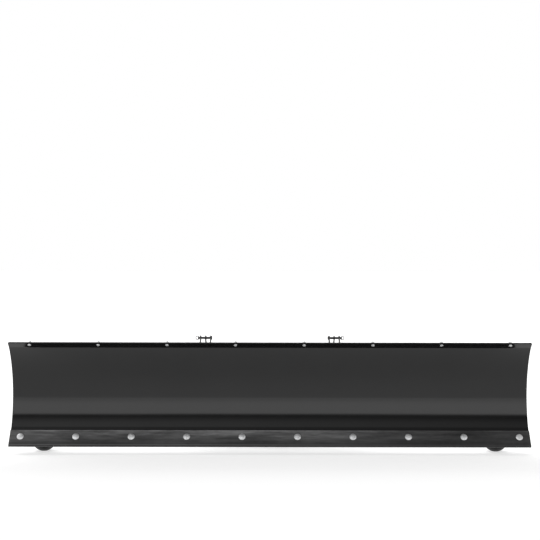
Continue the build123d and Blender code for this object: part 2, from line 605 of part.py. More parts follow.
def washer_stack(count, low):
    washer = post(WASHER_D / 2, 0, WASHER_THICK) - post(SLEEVE_BORE / 2, -1, WASHER_THICK + 1)
    return group([at_shoe(Pos(0, 0, low + i * WASHER_THICK) * washer) for i in range(count)])


add_pair("lower_washers", washer_stack(LOWER_WASHERS, HUB_TOP + WASHER_GAP))
add_pair("upper_washers", washer_stack(UPPER_WASHERS, SLEEVE_HIGH))
add_pair("shoe_sleeve", at_shoe(post(SLEEVE_D / 2, SLEEVE_LOW, SLEEVE_HIGH) - post(SLEEVE_BORE / 2, 0, FAR)))

strap_outline = behind_sheet(RIB_TOP_ANGLE) & polygon(
    (0, STRAP_LOW), (SHOE_Y, STRAP_LOW), (SHOE_Y, STRAP_HIGH), (0, STRAP_HIGH)
)
straps = [plate(strap_outline, SHOE_X + s * STRAP_SPREAD, STRAP_THICK) for s in (-1, 1)]
add_both("sleeve_straps", [strap - at_shoe(post(SLEEVE_D / 2, 0, FAR)) for strap in straps])


# ---------------------------------------------------------------- written out
os.makedirs("parts", exist_ok=True)
for name, shape in nodes.items():
    export_step(Pos(0, -KING_Y, -PIVOT[1]) * shape, f"parts/{name}.step")
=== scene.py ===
"""Studio scene of the snow plow blade.

Shapes are drawn in millimetres from the cutting edge, as the part is designed: X across the blade,
Y backwards, Z up. TO_ROW turns them into the frame's metres, whose origin is the king pin's bore.
"""

import json
import math

import bmesh
import bpy
from mathutils import Matrix, Vector, noise


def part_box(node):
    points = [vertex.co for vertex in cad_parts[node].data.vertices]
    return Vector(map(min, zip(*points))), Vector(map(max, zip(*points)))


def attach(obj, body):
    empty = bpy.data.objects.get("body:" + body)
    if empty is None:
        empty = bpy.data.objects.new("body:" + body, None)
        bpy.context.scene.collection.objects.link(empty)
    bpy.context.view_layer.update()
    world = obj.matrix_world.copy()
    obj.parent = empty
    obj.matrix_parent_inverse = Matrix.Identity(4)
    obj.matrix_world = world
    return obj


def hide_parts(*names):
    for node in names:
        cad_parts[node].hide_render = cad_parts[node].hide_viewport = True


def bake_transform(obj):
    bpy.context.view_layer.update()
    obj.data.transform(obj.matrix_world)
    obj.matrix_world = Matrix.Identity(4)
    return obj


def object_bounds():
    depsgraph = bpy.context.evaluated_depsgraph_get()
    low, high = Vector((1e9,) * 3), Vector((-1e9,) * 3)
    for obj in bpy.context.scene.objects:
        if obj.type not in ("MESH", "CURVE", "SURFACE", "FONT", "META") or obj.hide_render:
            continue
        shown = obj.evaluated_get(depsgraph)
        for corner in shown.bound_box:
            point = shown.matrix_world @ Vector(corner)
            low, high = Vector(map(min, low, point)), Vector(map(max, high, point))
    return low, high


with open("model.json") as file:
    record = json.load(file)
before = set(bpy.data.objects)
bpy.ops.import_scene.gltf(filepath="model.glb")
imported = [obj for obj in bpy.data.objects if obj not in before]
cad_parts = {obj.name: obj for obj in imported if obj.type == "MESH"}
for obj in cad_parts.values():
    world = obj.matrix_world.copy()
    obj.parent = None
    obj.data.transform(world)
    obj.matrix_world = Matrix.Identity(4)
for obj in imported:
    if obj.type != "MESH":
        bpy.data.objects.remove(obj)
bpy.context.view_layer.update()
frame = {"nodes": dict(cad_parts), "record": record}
NODES = frame["nodes"]

# ---- The frame's origin, from the cutting edge (mm) ----
KING_Y, KING_Z = 240.0, 112.0
TO_ROW = Matrix.Scale(0.001, 4) @ Matrix.Translation((0, -KING_Y, -KING_Z))
SIDES = {"left": -1, "right": 1}

# ---- The blade's section (mm) ----
BLADE_WIDTH = 1829.0
TILT = math.radians(36.0)
WEAR_HEIGHT, WEAR_THICK, WEAR_EDGE_ROUND = 63.5, 6.35, 0.8
SHEET, SHEET_LOW, SHEET_BEND, SHEET_EDGE_ROUND = 3.0, 14.0, 2.0, 0.35
ROLL_RADIUS, ROLL_CENTRE, ROLL_TOP = 262.0, Vector((-185.7, 174.9)), math.radians(41.6)
LIP_LENGTH, LIP_LEAN = 23.3, math.radians(50.0)
UP_BAR = Vector((math.sin(TILT), math.cos(TILT)))
BACK_BAR = Vector((math.cos(TILT), -math.sin(TILT)))
OUT_LIP = Vector((-math.sin(LIP_LEAN), math.cos(LIP_LEAN)))
OVER_LIP = Vector((math.cos(LIP_LEAN), math.sin(LIP_LEAN)))
EDGE = Vector((0, WEAR_THICK * math.sin(TILT)))
SHEET_BACK = WEAR_THICK + SHEET
ANGLE_THICK, LIP_BAR_THICK = 5.0, 4.0
ROLL_STEPS = 80


def bar_point(up, back):
    """A point measured up the wear bar's face and backwards through it."""
    return EDGE + UP_BAR * up + BACK_BAR * back


def radial(angle):
    return Vector((math.cos(angle), math.sin(angle)))


def flat_top():
    """The angle round the roll where the flat behind the wear bar runs into it."""
    start = bar_point(0, WEAR_THICK) - ROLL_CENTRE
    along = start.dot(UP_BAR)
    corner = start + UP_BAR * (math.sqrt(along**2 - start.length_squared + ROLL_RADIUS**2) - along)
    return math.atan2(corner.y, corner.x)


FLAT_TOP = flat_top()
LIP_EDGE = ROLL_CENTRE + radial(ROLL_TOP) * ROLL_RADIUS + OUT_LIP * LIP_LENGTH


def arc(centre, radius, start, end, steps):
    return [centre + radial(start + (end - start) * i / steps) * radius for i in range(steps + 1)]


def even(count, span):
    return [span * (i / (count - 1) - 0.5) for i in range(count)]


def eased(before, corner, after, reach, steps=4):
    """A small round bend in place of a corner."""
    a = corner + (before - corner).normalized() * reach
    b = corner + (after - corner).normalized() * reach
    curve = []
    for i in range(steps + 1):
        t = i / steps
        curve.append(a * (1 - t) ** 2 + corner * (2 * t * (1 - t)) + b * t**2)
    return curve


def sheet_side(back):
    """The sheet's line from its low end to the lip's edge, moved backwards."""
    radius = ROLL_RADIUS + back
    roll = arc(ROLL_CENTRE, radius, FLAT_TOP, ROLL_TOP, ROLL_STEPS)
    low = bar_point(SHEET_LOW, WEAR_THICK + back)
    edge = LIP_EDGE + OVER_LIP * back
    bottom_bend = eased(low, roll[0], roll[1], SHEET_BEND)
    top_bend = eased(roll[-2], roll[-1], edge, SHEET_BEND)
    return [low] + bottom_bend + roll[1:-1] + top_bend + [edge]


# ---------------------------------------------------------------- mesh tools
def placed(shape, matrix):
    """The shape moved by a matrix. A shape is its points and its faces."""
    return [matrix @ Vector(p) for p in shape[0]], shape[1]


def bands(rings, sides, closed=False):
    """The faces between rings of points, each ring with as many points as it has sides."""
    faces = []
    for s in range(rings if closed else rings - 1):
        t = (s + 1) % rings
        for i in range(sides):
            j = (i + 1) % sides
            faces.append([s * sides + i, s * sides + j, t * sides + j, t * sides + i])
    return faces


def caps(rings, sides):
    """The faces over the first ring and the last."""
    return [list(range(sides))[::-1], [(rings - 1) * sides + i for i in range(sides)]]


def lathe(profile, sides=64):
    """Turned about Z from (radius, height) points, which start and end on the axis or make a ring."""
    points, rings = [], []
    for radius, height in profile:
        count = 1 if radius < 1e-6 else sides
        rings.append(range(len(points), len(points) + count))
        for i in range(count):
            turn = 2 * math.pi * i / sides
            points.append(Vector((radius * math.cos(turn), radius * math.sin(turn), height)))
    faces = []
    for low, high in zip(rings, rings[1:]):
        for i in range(sides):
            j = (i + 1) % sides
            face = [low[i % len(low)], low[j % len(low)], high[j % len(high)], high[i % len(high)]]
            face = list(dict.fromkeys(face))
            if len(face) > 2:
                faces.append(face)
    return points, faces


def prism(outline, stations, shift=None):
    """An outline in Y and Z carried along X through the stations."""
    points = []
    for x in stations:
        for y, z in outline:
            points.append(Vector((x, y, z)) + (shift(x, y, z) if shift else Vector()))
    size = len(stations), len(outline)
    return points, caps(*size) + bands(*size)


def tube(path, radius, sides=14, closed=False, section=None):
    """A round wire along a path. section(i) may give each ring's radius."""
    path = [Vector(p) for p in path]
    count = len(path)
    ahead = []
    for i in range(count):
        after = path[(i + 1) % count] if closed or i + 1 < count else path[i]
        before = path[i - 1] if closed or i else path[i]
        ahead.append((after - before).normalized())
    across = ahead[0].orthogonal().normalized()
    points = []
    for i in range(count):
        across = (across - ahead[i] * across.dot(ahead[i])).normalized()
        up = ahead[i].cross(across)
        r = section(i) if section else radius
        for k in range(sides):
            turn = 2 * math.pi * k / sides
            points.append(path[i] + (across * math.cos(turn) + up * math.sin(turn)) * r)
    faces = bands(count, sides, closed)
    return points, faces if closed else faces + caps(count, sides)


NUT_SIDES = 72
NUT_CHAMFER, NUT_CROWN = 0.55, 0.98  # slope, and where it starts as a part of the inscribed circle
NUT_EASE, BORE_EASE = 0.4, 0.7


def hexagon(flats, turn):
    """How far a hexagon's side is from its middle, at an angle round it."""
    off = (turn + math.pi / 6) % (math.pi / 3) - math.pi / 6
    return flats / 2 / math.cos(off)


def hex_nut(bore, flats, height, flange=0.0, flange_height=0.0):
    """A chamfered hexagon on Z 0, with a flange if one is given."""
    turns = [2 * math.pi * i / NUT_SIDES for i in range(NUT_SIDES)]
    sides = [hexagon(flats, turn) for turn in turns]
    crown = flats / 2 * NUT_CROWN
    chamfers = [max(0.0, side - crown) * NUT_CHAMFER for side in sides]

    def level(radius, z):
        return [(radius, z)] * NUT_SIDES

    if flange:
        base = flange / 2
        rings = [level(base - 0.3, 0), level(base, NUT_EASE), level(base, flange_height * 0.45)]
        rings.append([(side + 0.3, flange_height) for side in sides])
    else:
        rings = [[(min(side, crown), 0) for side in sides], list(zip(sides, chamfers))]
    rings.append([(side, height - chamfer) for side, chamfer in zip(sides, chamfers)])
    rings += [level(crown, height), level(bore + BORE_EASE, height), level(bore, height - BORE_EASE)]
    rings += [level(bore, NUT_EASE), level(bore + NUT_EASE, 0)]
    points = []
    for ring in rings:
        points += [Vector((r * math.cos(turn), r * math.sin(turn), z)) for (r, z), turn in zip(ring, turns)]
    return points, bands(len(rings), NUT_SIDES, closed=True)


THREAD_DEPTH, THREAD_TIP = 0.55, 0.35  # of the pitch
THREAD_STEPS = 5  # rings to a turn
TIP_TAPER = 0.18


def thread(radius, pitch, low, high, sides=28):
    """A threaded rod from low to high, its far end chamfered."""
    depth = THREAD_DEPTH * pitch
    steps = max(4, round((high - low) / pitch * THREAD_STEPS))
    points = []
    for s in range(steps + 1):
        z = low + (high - low) * s / steps
        end = min(1.0, (high - z) / pitch + THREAD_TIP)
        for i in range(sides):
            turn = i / sides
            wave = abs(((z / pitch - turn) % 1.0) * 2 - 1)
            r = (radius - depth * (1 - wave)) * (1 - TIP_TAPER + TIP_TAPER * end)
            points.append(Vector((r * math.cos(turn * 2 * math.pi), r * math.sin(turn * 2 * math.pi), z)))
    return points, bands(steps + 1, sides) + caps(steps + 1, sides)


# A weld bead, as parts of its size: how far apart its points are, its least radius, how much it grows from
# one point of a ripple to the next, and how uneven it is.
BEAD_STEP, BEAD_LEAST, BEAD_GROWTH, BEAD_WOBBLE = 0.22, 0.66, 0.045, 0.12
BEAD_RIPPLE, BEAD_END, BEAD_SIDES = 4, 3, 8  # points in a ripple, in a thinner end, and round the bead
BEAD_THIN = 0.55  # an end's thickness, as a part of the bead's
WOBBLE_SCALE = 0.21


def weld(path, size):
    """A rippled weld bead along a path, thin at its ends."""
    path = [Vector(p) for p in path]
    spans = [(b - a).length for a, b in zip(path, path[1:])]
    total = sum(spans)
    count = max(8, round(total / (size * BEAD_STEP)))
    points = []
    for i in range(count + 1):
        want, k = total * i / count, 0
        while k < len(spans) - 1 and want > spans[k]:
            want -= spans[k]
            k += 1
        points.append(path[k].lerp(path[k + 1], min(1.0, want / spans[k])))
    wobble = [BEAD_WOBBLE * noise.noise(p * WOBBLE_SCALE) for p in points]

    def ripple(i):
        end = min(1.0, (min(i, count - i) + 1) / BEAD_END)
        thick = BEAD_LEAST + BEAD_GROWTH * (i % BEAD_RIPPLE) + wobble[i]
        return size * thick * (BEAD_THIN + (1 - BEAD_THIN) * end)

    return tube(points, size, BEAD_SIDES, section=ripple)


# ---------------------------------------------------------------- materials
def links(tree, *pairs):
    for source, target in pairs:
        tree.links.new(source, target)


def spread(tree, value, first, last, low=0.0, high=1.0, smooth=False):
    """A value's change from first to last turned into low to high."""
    node = tree.nodes.new("ShaderNodeMapRange")
    if smooth:
        node.interpolation_type = "SMOOTHSTEP"
    for name, number in (("From Min", first), ("From Max", last), ("To Min", low), ("To Max", high)):
        node.inputs[name].default_value = number
    links(tree, (value, node.inputs["Value"]))
    return node.outputs["Result"]


def shades(tree, coords, scale, detail, low=0.0, high=1.0, rough=0.55):
    """Noise turned into values from low to high."""
    cloud = tree.nodes.new("ShaderNodeTexNoise")
    for name, number in (("Scale", scale), ("Detail", detail), ("Roughness", rough)):
        cloud.inputs[name].default_value = number
    links(tree, (coords, cloud.inputs["Vector"]))
    return spread(tree, cloud.outputs["Fac"], 0.3, 0.7, low, high)


def maths(tree, operation, *values):
    node = tree.nodes.new("ShaderNodeMath")
    node.operation = operation
    links(tree, *zip(values, node.inputs))
    return node.outputs[0]


def product(tree, first, second):
    return maths(tree, "MULTIPLY", first, second)


def axes(tree, vector):
    """A vector's X, Y and Z."""
    node = tree.nodes.new("ShaderNodeSeparateXYZ")
    links(tree, (vector, node.inputs[0]))
    return node.outputs


def stretched(tree, coords, scale, shift):
    """Coordinates scaled along each axis and shifted along X."""
    mapping = tree.nodes.new("ShaderNodeMapping")
    mapping.inputs["Scale"].default_value = scale
    mapping.inputs["Location"].default_value = (shift, 0, 0)
    links(tree, (coords, mapping.inputs["Vector"]))
    return mapping.outputs["Vector"]


def bump(tree, height, distance, strength, before=None):
    node = tree.nodes.new("ShaderNodeBump")
    node.inputs["Distance"].default_value = distance
    node.inputs["Strength"].default_value = strength
    links(tree, (height, node.inputs["Height"]))
    if before is not None:
        links(tree, (before, node.inputs["Normal"]))
    return node.outputs["Normal"]


def blend_colour(tree, factor, first, second):
    mix = tree.nodes.new("ShaderNodeMix")
    mix.data_type = "RGBA"
    links(tree, (factor, mix.inputs["Factor"]))
    for socket, value in (("A", first), ("B", second)):
        target = next(s for s in mix.inputs if s.name == socket and s.type == "RGBA")
        if isinstance(value, bpy.types.NodeSocket):
            links(tree, (value, target))
        else:
            target.default_value = (*value, 1.0)
    return next(s for s in mix.outputs if s.type == "RGBA")


def grey(value):
    return (value, value, value)


def start_material(name, ior=1.45, metallic=0.0):
    made = bpy.data.materials.new(name)
    made.use_nodes = True
    tree = made.node_tree
    shader = tree.nodes["Principled BSDF"]
    shader.inputs["IOR"].default_value = ior
    shader.inputs["Metallic"].default_value = metallic
    coords = tree.nodes.new("ShaderNodeTexCoord").outputs["Object"]
    return made, tree, shader, coords


def surface(tree, shader, colour, roughness, normal=None):
    links(tree, (colour, shader.inputs["Base Color"]), (roughness, shader.inputs["Roughness"]))
    if normal is not None:
        links(tree, (normal, shader.inputs["Normal"]))


def edge_mask(tree, low, high):
    """1 on convex edges, where a coat is thin and gets rubbed; with its limits swapped, 1 in hollows, where
    the zinc's painted shade goes.
    """
    return spread(tree, tree.nodes.new("ShaderNodeNewGeometry").outputs["Pointiness"], low, high)


def powder_coat(name, base, light, roughness, ior, peel=1.0):
    """Black powder coat: orange peel, faint cloudiness, and edges where it is thin."""
    made, tree, shader, coords = start_material(name, ior)
    thin = tuple(c * 2 + 0.004 for c in light)
    colour = blend_colour(tree, shades(tree, coords, 9.0, 4.0), base, light)
    colour = blend_colour(tree, edge_mask(tree, 0.54, 0.64), colour, thin)
    rough = shades(tree, coords, 26.0, 5.0, roughness * 0.9, roughness * 1.15)
    waves = bump(tree, shades(tree, coords, 420.0, 2.0), 0.00006 * peel, 0.5)
    grain = bump(tree, shades(tree, coords, 1500.0, 2.0), 0.00001, 0.4, waves)
    surface(tree, shader, colour, rough, grain)
    return made


def bar_paint():
    """Thin black paint over hot-rolled bar: streaked along it, paler up its face and in a band just above its
    cutting edge, with a painted highlight along its top edge and painted shade towards its right end.
    """
    made, tree, shader, coords = start_material("painted_hot_rolled_bar", 1.38)
    place = axes(tree, coords)

    def up_face(first, last, low, high):
        """A change between two heights above the cutting edge, in millimetres."""
        ends = [0.001 * (height - KING_Z) for height in (first, last)]
        return spread(tree, place["Z"], *ends, low, high, smooth=True)

    broad = shades(tree, stretched(tree, coords, (3.2, 12.0, 26.0), 0.4), 1.0, 6.0, 0.0, 1.15, 0.62)
    fine = shades(tree, stretched(tree, coords, (9.0, 40.0, 90.0), 1.3), 1.0, 7.0, 0.25, 1.3, 0.66)
    height = up_face(4.0, 44.0, 0.10, 1.05)
    # Painted highlight: the top millimetres of the face are made paler, as if the edge caught the overhead
    # light.
    top_edge_painted_highlight = up_face(50.5, 54.5, 1.0, 1.7)
    low_line = product(tree, up_face(5.5, 7.5, 0.0, 0.30), up_face(9.0, 11.5, 1.0, 0.0))
    # Painted shade: the face darkens from left to right, towards where the studio light is weaker.
    painted_shade_to_right = spread(tree, place["X"], -0.30, 0.90, 1.0, 0.30, smooth=True)
    # The streaks and the paler upper face, combined with the painted highlight, the band above the cutting
    # edge and the painted shade.
    streaks_and_painted_light = product(tree, product(tree, broad, fine), product(tree, height, top_edge_painted_highlight))
    streaks_and_painted_light = product(tree, maths(tree, "ADD", streaks_and_painted_light, low_line), painted_shade_to_right)
    colour = blend_colour(tree, streaks_and_painted_light, (0.006, 0.006, 0.0062), (0.165, 0.165, 0.166))
    rub = product(tree, edge_mask(tree, 0.52, 0.60), shades(tree, coords, 60.0, 6.0, rough=0.75))
    colour = blend_colour(tree, rub, colour, grey(0.06))
    rough = shades(tree, coords, 22.0, 6.0, 0.34, 0.50, 0.65)
    pits = bump(tree, shades(tree, coords, 160.0, 6.0, rough=0.7), 0.00018, 0.5)
    surface(tree, shader, colour, rough, bump(tree, fine, 0.0006, 0.2, pits))
    return made


SCUFF_HEIGHT = 0.006  # m above the shoe's underside


def shoe_coat():
    """Satin black on a pressed steel foot, with fine scuffs low down."""
    made, tree, shader, coords = start_material("shoe_coat", 1.33)
    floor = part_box("right_shoe_foot")[0].z
    low = spread(tree, axes(tree, coords)["Z"], floor + SCUFF_HEIGHT, floor)
    scuff = product(tree, low, shades(tree, coords, 240.0, 5.0, -0.4, 1.0, 0.7))
    colour = blend_colour(tree, shades(tree, coords, 40.0, 4.0), grey(0.0018), grey(0.0035))
    colour = blend_colour(tree, scuff, colour, (0.03, 0.03, 0.029))
    grain = bump(tree, shades(tree, coords, 500.0, 4.0), 0.00008, 0.6)
    surface(tree, shader, colour, shades(tree, coords, 90.0, 5.0, 0.34, 0.5), grain)
    return made


def zinc_plate():
    """Clear zinc over steel: bright, slightly cloudy, and darkened in its hollows as painted shade."""
    made, tree, shader, coords = start_material("zinc_plate", metallic=0.8)
    cloud = shades(tree, coords, 130.0, 5.0)
    colour = blend_colour(tree, cloud, (0.50, 0.505, 0.51), (0.69, 0.695, 0.70))
    # Painted shade: hollows such as thread roots and bores are darkened in the colour.
    colour = blend_colour(tree, edge_mask(tree, 0.48, 0.40), colour, grey(0.22))
    grain = bump(tree, shades(tree, coords, 900.0, 4.0), 0.00003, 0.5)
    surface(tree, shader, colour, shades(tree, coords, 300.0, 4.0, 0.46, 0.62), grain)
    return made


def spring_wire():
    """Bright drawn wire."""
    made, tree, shader, coords = start_material("bright_wire", metallic=1.0)
    colour = blend_colour(tree, shades(tree, coords, 200.0, 4.0), grey(0.4), grey(0.6))
    surface(tree, shader, colour, shades(tree, coords, 500.0, 3.0, 0.2, 0.34))
    return made


def cap_plastic():
    """Moulded black plastic with a fine spark texture."""
    made, tree, shader, coords = start_material("cap_plastic", 1.46)
    colour = blend_colour(tree, shades(tree, coords, 60.0, 3.0), grey(0.014), grey(0.022))
    grain = bump(tree, shades(tree, coords, 1400.0, 3.0), 0.00005, 0.7)
    surface(tree, shader, colour, shades(tree, coords, 300.0, 3.0, 0.5, 0.65), grain)
    return made


BLADE_BLACKS = (0.0017, 0.0017, 0.0018), (0.003, 0.003, 0.0031)
FRAME_BLACKS = (0.006, 0.006, 0.0063), (0.010, 0.010, 0.0104)
MATERIALS = {
    "blade_paint": powder_coat("blade_powder_coat", *BLADE_BLACKS, roughness=0.09, ior=1.45, peel=0.16),
    "frame_paint": powder_coat("frame_powder_coat", *FRAME_BLACKS, roughness=0.27, ior=1.5),
    "spring_coat": powder_coat("spring_coat", grey(0.004), grey(0.007), roughness=0.24, ior=1.5),
    "wear_bar_paint": bar_paint(),
    "shoe_coat": shoe_coat(),
    "zinc_plate": zinc_plate(),
    "spring_wire": spring_wire(),
    "cap_plastic": cap_plastic(),
}
SLOT_OF = {part["node"]: part["material_slot"] for part in frame["record"]["subparts"]}
BODY_OF = {node: body for body, nodes in frame["record"]["behaviour"]["bodies"].items() for node in nodes}


# ---------------------------------------------------------------- making pieces
def finish_mesh(obj, bevel, angle):
    """Rounds the sharp edges, and shades the rest smoothly."""
    if bevel:
        rounder = obj.modifiers.new("round", "BEVEL")
        rounder.width = bevel * 0.001
        rounder.segments = 2
        rounder.limit_method = "ANGLE"
        rounder.angle_limit = math.radians(angle)
        weigher = obj.modifiers.new("weigh", "WEIGHTED_NORMAL")
        weigher.keep_sharp = True
    for face in obj.data.polygons:
        face.use_smooth = True
    if bevel:
        bpy.context.view_layer.update()
        evaluated = obj.evaluated_get(bpy.context.evaluated_depsgraph_get())
        done = bpy.data.meshes.new_from_object(evaluated)
        obj.modifiers.clear()
        obj.data = done
    else:
        obj.data.set_sharp_from_angle(angle=math.radians(angle))


def make_object(name, shapes):
    points, faces = [], []
    for shape_points, shape_faces in shapes:
        start = len(points)
        points += [TO_ROW @ Vector(p) for p in shape_points]
        faces += [[start + i for i in face] for face in shape_faces]
    mesh = bpy.data.meshes.new(name)
    mesh.from_pydata(points, [], faces)
    form = bmesh.new()
    form.from_mesh(mesh)
    bmesh.ops.recalc_face_normals(form, faces=form.faces)
    form.to_mesh(mesh)
    form.free()
    obj = bpy.data.objects.new(name, mesh)
    bpy.context.scene.collection.objects.link(obj)
    return obj


def settle(obj, slot, body, nodes):
    """The piece's material, what it stands for, and the body it rides, if it rides one."""
    obj.data.materials.clear()
    obj.data.materials.append(MATERIALS[slot])
    if nodes:
        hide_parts(*nodes)
    if body:
        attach(obj, body)


def piece(name, shapes, *nodes, slot=None, body=None, bevel=0.0, angle=38.0):
    """A new piece from shapes in millimetres. It stands for the nodes, and takes their slot and body."""
    obj = make_object(name, shapes)
    finish_mesh(obj, bevel, angle)
    settle(obj, slot or SLOT_OF[nodes[0]], body or BODY_OF[nodes[0]], nodes)


SAME_POINT = 1e-6  # m
FLAT_ANGLE, CORNER_ANGLE = 0.5, 32.0  # degrees: faces are joined below one, edges rounded above the other


def refined(node, bevel):
    """A copy of a CAD node with its flat faces joined up and its edges rounded."""
    mesh = NODES[node].data.copy()
    form = bmesh.new()
    form.from_mesh(mesh)
    bmesh.ops.remove_doubles(form, verts=form.verts, dist=SAME_POINT)
    bmesh.ops.dissolve_limit(form, angle_limit=math.radians(FLAT_ANGLE), verts=form.verts, edges=form.edges)
    form.to_mesh(mesh)
    form.free()
    obj = bpy.data.objects.new("fine_" + node, mesh)
    bpy.context.scene.collection.objects.link(obj)
    finish_mesh(obj, bevel, CORNER_ANGLE)
    settle(obj, SLOT_OF[node], BODY_OF[node], [node])


def side_frame(x, point, direction):
    """A placement at a point of the side view, its Z along a direction of the side view."""
    z = Vector((0, direction.x, direction.y))
    y = z.cross(Vector((1, 0, 0)))
    turn = Matrix(((1, y.x, z.x), (0, y.y, z.y), (0, y.z, z.z))).to_4x4()
    return Matrix.Translation((x, point.x, point.y)) @ turn


# ---------------------------------------------------------------- moldboard and wear bar
UNEVEN, UNEVEN_WIDE, UNEVEN_HIGH = 0.22, 310.0, 170.0  # how far the sheet strays, and over what lengths
SHEET_STATIONS, BAR_STATIONS = 73, 91
WEAR_BOLTS, WEAR_BOLT_SPAN, WEAR_BOLT_UP = 10, 1753.0, 37.6
LIP_BOLTS, LIP_BOLT_SPAN, LIP_BOLT_IN = 8, 1680.0, 10.0
HEAD_RIM, HEAD_STEPS, HEAD_POWER = 0.9, 12, 0.85
BOLT_TURN, NUT_TURN, NUT_START = 0.7, 0.9, 0.2  # radians, from one fastener to the next


def make_moldboard():
    def ripple(x, y, z):
        return Vector((0, UNEVEN * noise.noise(Vector((x / UNEVEN_WIDE, z / UNEVEN_HIGH, 0.3))), 0))

    outline = sheet_side(0) + sheet_side(SHEET)[::-1]
    sheet = prism(outline, even(SHEET_STATIONS, BLADE_WIDTH), ripple)
    piece("moldboard_sheet", [sheet], "moldboard", bevel=SHEET_EDGE_ROUND, angle=50.0)


def make_wear_bar():
    corners = (0, 0), (WEAR_HEIGHT, 0), (WEAR_HEIGHT, WEAR_THICK), (0, WEAR_THICK)
    bar = prism([bar_point(*corner) for corner in corners], even(BAR_STATIONS, BLADE_WIDTH))
    piece("wear_bar_steel", [bar], "wear_bar", bevel=WEAR_EDGE_ROUND)


def carriage_head(radius, rise):
    """A domed head below Z 0 with a thin flat rim."""
    profile = []
    for i in range(HEAD_STEPS + 1):
        r = radius * math.sin(math.pi / 2 * i / HEAD_STEPS)
        profile.append((r, -HEAD_RIM - (rise - HEAD_RIM) * (1 - (r / radius) ** 2) ** HEAD_POWER))
    return lathe(profile + [(radius + 0.15, -0.6), (radius, -0.1), (radius - 0.4, 0), (0, 0)], 48)


def carriage_bolt(head_radius, head_rise, radius, pitch, shank, length, sides):
    """A bolt whose head is below Z 0, and whose plain shank and thread are above."""
    plain = lathe([(0, 0), (radius, 0), (radius, shank), (0, shank)], sides)
    return [carriage_head(head_radius, head_rise), plain, thread(radius, pitch, shank, length, sides - 4)]


def fastened(name, places, bolt, nut, grip):
    """Bolts, and nuts at the far side of what they grip, each turned its own way."""
    bolts, nuts = [], []
    for i, place in enumerate(places):
        turned = place @ Matrix.Rotation(BOLT_TURN * i, 4, "Z")
        bolts += [placed(shape, turned) for shape in bolt]
        behind = place @ Matrix.Translation((0, 0, grip))
        nuts.append(placed(nut, behind @ Matrix.Rotation(NUT_TURN * i + NUT_START, 4, "Z")))
    piece(name + "_bolts_fine", bolts, name + "_bolts")
    piece(name + "_nuts_fine", nuts, name + "_nuts", angle=25)


make_moldboard()
make_wear_bar()
fastened(
    "wear_bar",
    [side_frame(x, bar_point(WEAR_BOLT_UP, 0), BACK_BAR) for x in even(WEAR_BOLTS, WEAR_BOLT_SPAN)],
    carriage_bolt(head_radius=12.0, head_rise=5.4, radius=4.95, pitch=1.5, shank=13.0, length=28.4, sides=32),
    hex_nut(bore=5.02, flats=15.0, height=9.5, flange=21.5, flange_height=2.1),
    SHEET_BACK + ANGLE_THICK,
)
fastened(
    "lip",
    [side_frame(x, LIP_EDGE - OUT_LIP * LIP_BOLT_IN, OVER_LIP) for x in even(LIP_BOLTS, LIP_BOLT_SPAN)],
    carriage_bolt(head_radius=5.75, head_rise=2.0, radius=2.95, pitch=1.0, shank=6.0, length=15.9, sides=24),
    hex_nut(bore=3.02, flats=10.0, height=6.0, flange=13.5, flange_height=1.4),
    SHEET + LIP_BAR_THICK,
)

# ---------------------------------------------------------------- trip springs and eyebolts
EAR_X = 229.0
SPRING_TOP, SPRING_FOOT = Vector((90.0, 377.5)), Vector((240.0, 179.0))
SPRING_DOWN = (SPRING_FOOT - SPRING_TOP).normalized()
SPRING_R, SPRING_WIRE, COILS = 11.5, 5.0, 33
TOP_LOOP_RADIUS, LOW_LOOP = 6.55, 232.85
COIL_LOW, COIL_HIGH = 37.5, 224.5
HOOK_STEPS, COIL_STEPS = 23, 26  # points in a hook, and in each turn of the coils
TOP_HOOK, LOW_HOOK = (-165, 90), (0, 195)  # degrees from open end to bend, and from bend to open end
LEAD = 0.14  # the part of a turn that each bend takes up
TOP_REACH, TOP_PULL, LOW_REACH = 12.0, 9.0, 6.0  # how gently the wire bends into the coils and out of them
EYE_RADIUS, EYE_WIRE, EYE_REACH = 11.0, 8.0, 82.0
EYE_SHANK, EYE_PLAIN, EYE_PITCH = 3.98, 34.0, 1.25
EYE_NUT_BACK, EYE_NUT_BORE, EYE_NUT_FLATS, EYE_NUT_HEIGHT, EYE_NUT_GAP = 48.0, 4.02, 13.0, 6.5, 0.1
EYE_NUT_START, EYE_NUT_TURN = 0.3, 0.5  # radians


def bezier(a, b, c, d, steps):
    out = []
    for i in range(steps + 1):
        t = i / steps
        u = 1 - t
        out.append(a * u**3 + b * (3 * t * u * u) + c * (3 * t * t * u) + d * t**3)
    return out


def coil_point(turn):
    """A point of the coils' wire, turn going from 0 to COILS."""
    angle = math.pi / 2 + 2 * math.pi * turn
    height = COIL_LOW + (COIL_HIGH - COIL_LOW) * turn / COILS
    return Vector((SPRING_R * math.cos(angle), SPRING_R * math.sin(angle), height))


def coil_heading(turn):
    return (coil_point(turn + 0.01) - coil_point(turn - 0.01)).normalized()


